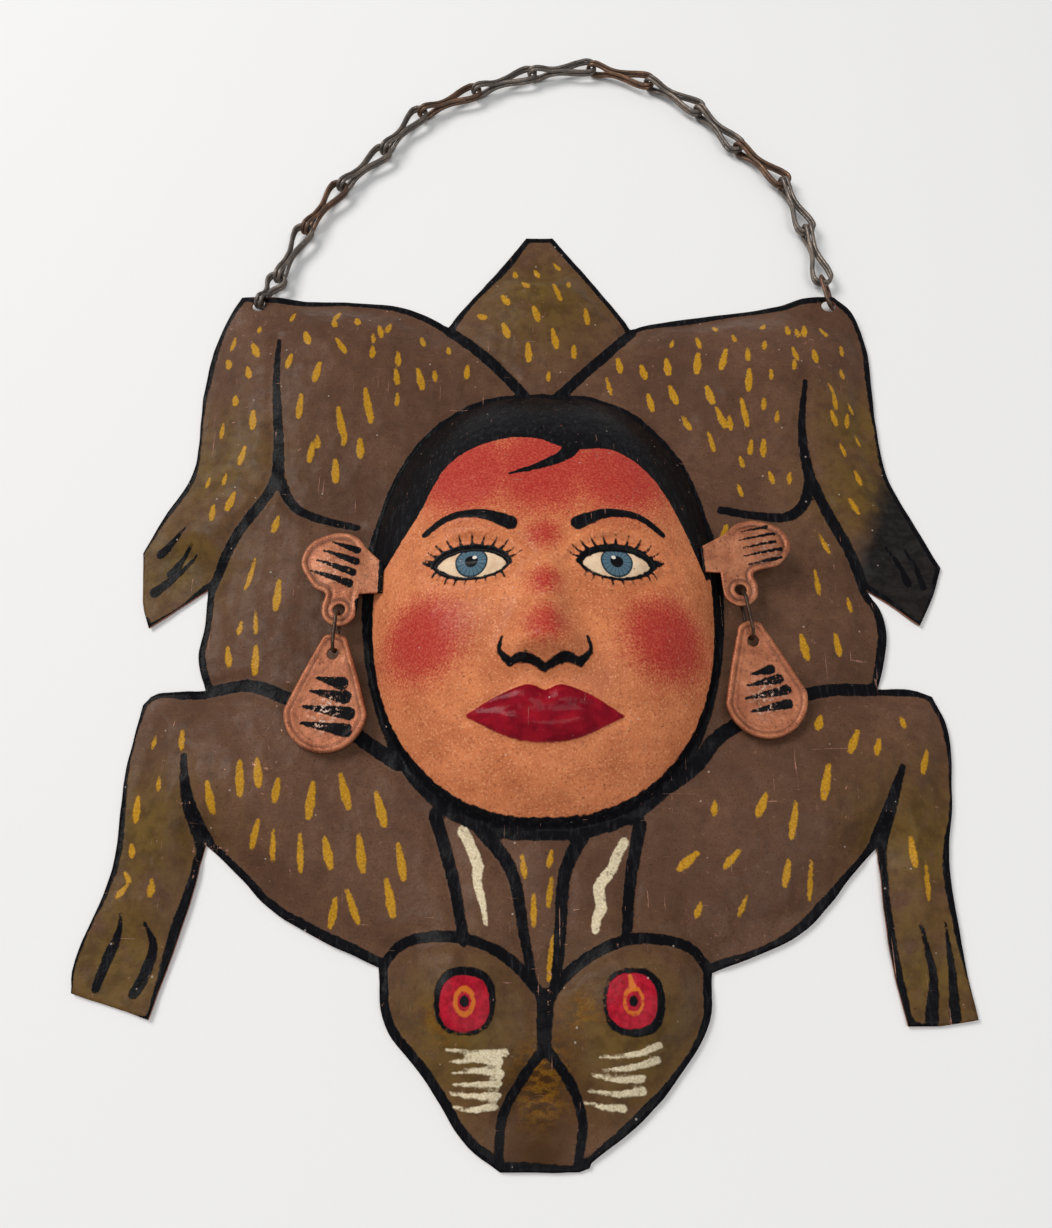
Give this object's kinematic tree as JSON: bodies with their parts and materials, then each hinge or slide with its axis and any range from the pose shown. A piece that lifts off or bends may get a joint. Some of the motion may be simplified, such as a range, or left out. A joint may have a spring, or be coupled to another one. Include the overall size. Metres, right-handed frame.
{
  "type": "hammered copper mask",
  "caption": "Painted repousse copper wall mask: an animal seen from above with a raised human face, drop earrings and a folded-link wire chain to hang it by.",
  "frame": {"origin": "centre of the base of the box round the mask and its laid-out chain", "axes": "+Z out of the front of the mask, +Y from the animal's snout to its tail and the chain, +X to the right of someone who looks at the face"},
  "size_m": [0.248, 0.389, 0.0365],
  "materials": {
    "painted_copper": "hammered copper sheet, hand painted in glossy enamel, mauve-brown with black lines",
    "bare_copper": "hammered copper with a dull orange-brown skin and black brush strokes",
    "dark_wire": "oxidised copper wire, dark brown"
  },
  "bodies": {
    "mask": {"mask_sheet": "painted_copper", "left_ear": "bare_copper", "right_ear": "bare_copper"},
    "left_earring_wire": {"left_earring_wire": "dark_wire"},
    "left_pendant": {"left_pendant": "bare_copper"},
    "right_earring_wire": {"right_earring_wire": "dark_wire"},
    "right_pendant": {"right_pendant": "bare_copper"},
    "chain_end_link": {"chain_end_link": "dark_wire"},
    "chain_end_ring": {"chain_end_ring": "dark_wire"},
    "chain_link_01": {"chain_link_01": "dark_wire"},
    "chain_link_02": {"chain_link_02": "dark_wire"},
    "chain_link_03": {"chain_link_03": "dark_wire"},
    "chain_link_04": {"chain_link_04": "dark_wire"},
    "chain_link_05": {"chain_link_05": "dark_wire"},
    "chain_link_06": {"chain_link_06": "dark_wire"},
    "chain_link_07": {"chain_link_07": "dark_wire"},
    "chain_link_08": {"chain_link_08": "dark_wire"},
    "chain_link_09": {"chain_link_09": "dark_wire"},
    "chain_link_10": {"chain_link_10": "dark_wire"},
    "chain_link_11": {"chain_link_11": "dark_wire"},
    "chain_link_12": {"chain_link_12": "dark_wire"},
    "chain_link_13": {"chain_link_13": "dark_wire"}
  },
  "joints": [
    {"name": "left_earring_lift", "type": "hinge", "parent": "mask", "child": "left_earring_wire", "pos_m": [-0.05939, -0.05246, 0.0134], "axis": [-0.9976, 0.0698, 0], "range_deg": [0, 85]},
    {"name": "left_pendant_sway", "type": "hinge", "parent": "left_earring_wire", "child": "left_pendant", "pos_m": [-0.05998, -0.06089, 0.01247], "axis": [-0.0077, -0.1095, 0.994], "range_deg": [-20, 6]},
    {"name": "right_earring_lift", "type": "hinge", "parent": "mask", "child": "right_earring_wire", "pos_m": [0.05915, -0.04602, 0.0134], "axis": [-0.9877, -0.1564, 0], "range_deg": [0, 85]},
    {"name": "right_pendant_sway", "type": "hinge", "parent": "right_earring_wire", "child": "right_pendant", "pos_m": [0.06086, -0.05682, 0.01219], "axis": [0.0172, -0.1084, 0.994], "range_deg": [-6, 20]},
    {"name": "chain_lift", "type": "hinge", "parent": "mask", "child": "chain_end_link", "pos_m": [-0.0965, 0.07438, 0.0036], "axis": [1, 0, 0], "range_deg": [0, 85]},
    {"name": "chain_ring_lift", "type": "hinge", "parent": "mask", "child": "chain_end_ring", "pos_m": [0.101, 0.07438, 0.0036], "axis": [1, 0, 0], "range_deg": [0, 85]},
    {"name": "chain_bend_01", "type": "hinge", "parent": "chain_end_link", "child": "chain_link_01", "pos_m": [-0.09229, 0.08301, 0.0036], "axis": [0, 0, 1], "range_deg": [-12.7, 0]},
    {"name": "chain_bend_02", "type": "hinge", "parent": "chain_link_01", "child": "chain_link_02", "pos_m": [-0.08479, 0.10549, 0.0036], "axis": [0, 0, 1], "range_deg": [0, 5.4]},
    {"name": "chain_bend_03", "type": "hinge", "parent": "chain_link_02", "child": "chain_link_03", "pos_m": [-0.07371, 0.12644, 0.0036], "axis": [0, 0, 1], "range_deg": [0, 6.5]},
    {"name": "chain_bend_04", "type": "hinge", "parent": "chain_link_03", "child": "chain_link_04", "pos_m": [-0.05869, 0.14478, 0.0036], "axis": [0, 0, 1], "range_deg": [-3.9, 0]},
    {"name": "chain_bend_05", "type": "hinge", "parent": "chain_link_04", "child": "chain_link_05", "pos_m": [-0.04588, 0.16471, 0.0036], "axis": [0, 0, 1], "range_deg": [0, 14.7]},
    {"name": "chain_bend_06", "type": "hinge", "parent": "chain_link_05", "child": "chain_link_06", "pos_m": [-0.02553, 0.17686, 0.0036], "axis": [0, 0, 1], "range_deg": [0, 3.8]},
    {"name": "chain_bend_07", "type": "hinge", "parent": "chain_link_06", "child": "chain_link_07", "pos_m": [-0.00395, 0.18666, 0.0036], "axis": [0, 0, 1], "range_deg": [0, 8.1]},
    {"name": "chain_bend_13", "type": "hinge", "parent": "chain_end_ring", "child": "chain_link_13", "pos_m": [0.09967, 0.0852, 0.0036], "axis": [0, 0, 1], "range_deg": [0, 13]},
    {"name": "chain_bend_12", "type": "hinge", "parent": "chain_link_13", "child": "chain_link_12", "pos_m": [0.0962, 0.10864, 0.0036], "axis": [0, 0, 1], "range_deg": [-4.4, 0]},
    {"name": "chain_bend_11", "type": "hinge", "parent": "chain_link_12", "child": "chain_link_11", "pos_m": [0.08972, 0.13144, 0.0036], "axis": [0, 0, 1], "range_deg": [-14.2, 0]},
    {"name": "chain_bend_10", "type": "hinge", "parent": "chain_link_11", "child": "chain_link_10", "pos_m": [0.07408, 0.14925, 0.0036], "axis": [0, 0, 1], "range_deg": [0, 3.9]},
    {"name": "chain_bend_09", "type": "hinge", "parent": "chain_link_10", "child": "chain_link_09", "pos_m": [0.06059, 0.16873, 0.0036], "axis": [0, 0, 1], "range_deg": [-9.8, 0]},
    {"name": "chain_bend_08", "type": "hinge", "parent": "chain_link_09", "child": "chain_link_08", "pos_m": [0.04187, 0.18328, 0.0036], "axis": [0, 0, 1], "range_deg": [-10.9, 0]}
  ],
  "couplings": [
    {"joint": "chain_ring_lift", "follows": "chain_lift", "ratio": 1},
    {"joint": "chain_bend_02", "follows": "chain_bend_01", "ratio": -0.4043},
    {"joint": "chain_bend_03", "follows": "chain_bend_01", "ratio": -0.4905},
    {"joint": "chain_bend_04", "follows": "chain_bend_01", "ratio": 0.2822},
    {"joint": "chain_bend_05", "follows": "chain_bend_01", "ratio": -1.1316},
    {"joint": "chain_bend_06", "follows": "chain_bend_01", "ratio": -0.2743},
    {"joint": "chain_bend_07", "follows": "chain_bend_01", "ratio": -0.6156},
    {"joint": "chain_bend_08", "follows": "chain_bend_01", "ratio": 0.8318},
    {"joint": "chain_bend_09", "follows": "chain_bend_01", "ratio": 0.7492},
    {"joint": "chain_bend_10", "follows": "chain_bend_01", "ratio": -0.2831},
    {"joint": "chain_bend_11", "follows": "chain_bend_01", "ratio": 1.0939},
    {"joint": "chain_bend_12", "follows": "chain_bend_01", "ratio": 0.321},
    {"joint": "chain_bend_13", "follows": "chain_bend_01", "ratio": -0.9963}
  ]
}
